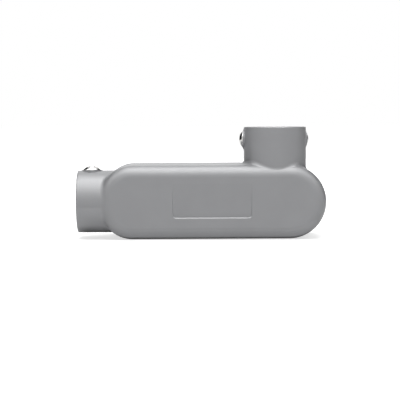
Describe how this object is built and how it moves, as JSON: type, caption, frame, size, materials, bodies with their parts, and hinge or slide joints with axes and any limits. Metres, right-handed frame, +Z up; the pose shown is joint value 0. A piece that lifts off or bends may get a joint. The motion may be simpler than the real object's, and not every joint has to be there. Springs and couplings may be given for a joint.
{
  "type": "conduit body",
  "caption": "Cast conduit body with set-screw hubs at one end and on its long side, and a gasketed cover.",
  "frame": {"origin": "centre of the stop inside the run hub, where the end of the conduit seats", "axes": "+X along the body away from the run hub's mouth, +Z up the side hub, +Y from the closed back to the cover"},
  "size_m": [0.1211, 0.043, 0.0542],
  "materials": {
    "grey_casting": "grey powder coat, fine texture, satin",
    "grey_cover": "grey powder coat, smooth, satin",
    "gasket": "matt black sponge sheet",
    "zinc_screw": "bright zinc plating"
  },
  "bodies": {
    "casting": {"body": "grey_casting", "gasket": "gasket", "cover": "grey_cover", "cover_screw_left": "zinc_screw", "cover_screw_right": "zinc_screw"},
    "run_set_screw": {"set_screw_run_hub": "zinc_screw"},
    "side_set_screw_left": {"set_screw_side_hub_left": "zinc_screw"},
    "side_set_screw_right": {"set_screw_side_hub_right": "zinc_screw"}
  },
  "joints": [
    {"name": "run_set_screw_travel", "type": "slide", "parent": "casting", "child": "run_set_screw", "axis": [0, 0, 1], "range_m": [-0.0009, 0.002]},
    {"name": "side_set_screw_left_travel", "type": "slide", "parent": "casting", "child": "side_set_screw_left", "axis": [-0.9945, 0.1045, 0], "range_m": [-0.0009, 0.002]},
    {"name": "side_set_screw_right_travel", "type": "slide", "parent": "casting", "child": "side_set_screw_right", "axis": [0.9336, 0.3584, 0], "range_m": [-0.0009, 0.002]}
  ]
}
